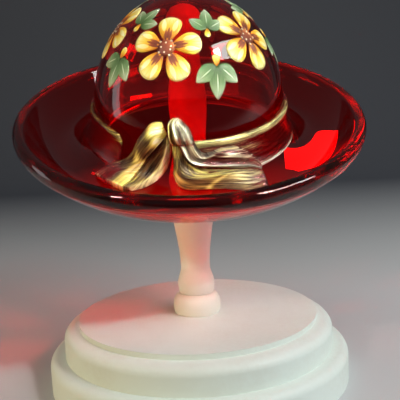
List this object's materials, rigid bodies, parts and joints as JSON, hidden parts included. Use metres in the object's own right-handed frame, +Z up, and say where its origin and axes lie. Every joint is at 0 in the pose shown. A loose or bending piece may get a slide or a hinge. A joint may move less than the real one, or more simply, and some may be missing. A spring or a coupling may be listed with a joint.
{
  "type": "glass hat on stand",
  "caption": "Ruby glass hat with a domed crown, upturned brim, gilded ribbon band and bow, leaning on a white turned wooden stand that it lifts off.",
  "frame": {"origin": "centre of the base's underside, on the surface that it stands on", "axes": "+Z up along the post, -Y towards the front of the hat, where the bow is"},
  "size_m": [0.2059, 0.1938, 0.2253],
  "materials": {
    "ruby_glass": "clear ruby red, polished",
    "gilded_glass": "brushed gold over ruby glass",
    "painted_wood": "white satin paint on turned wood",
    "screw_steel": "bright zinc"
  },
  "bodies": {
    "stand": {"post": "painted_wood", "base_upper": "painted_wood", "base_lower": "painted_wood", "post_screw": "screw_steel"},
    "hat": {"glass_shell": "ruby_glass", "ribbon_band": "gilded_glass", "bow_knot": "gilded_glass", "bow_left_loop": "gilded_glass", "bow_left_tail": "gilded_glass", "bow_right_loop": "gilded_glass", "bow_right_tail": "gilded_glass"}
  },
  "joints": [
    {"name": "hat_lift", "type": "slide", "parent": "stand", "child": "hat", "axis": [0, 0, 1], "range_m": [0, 0.13]}
  ]
}
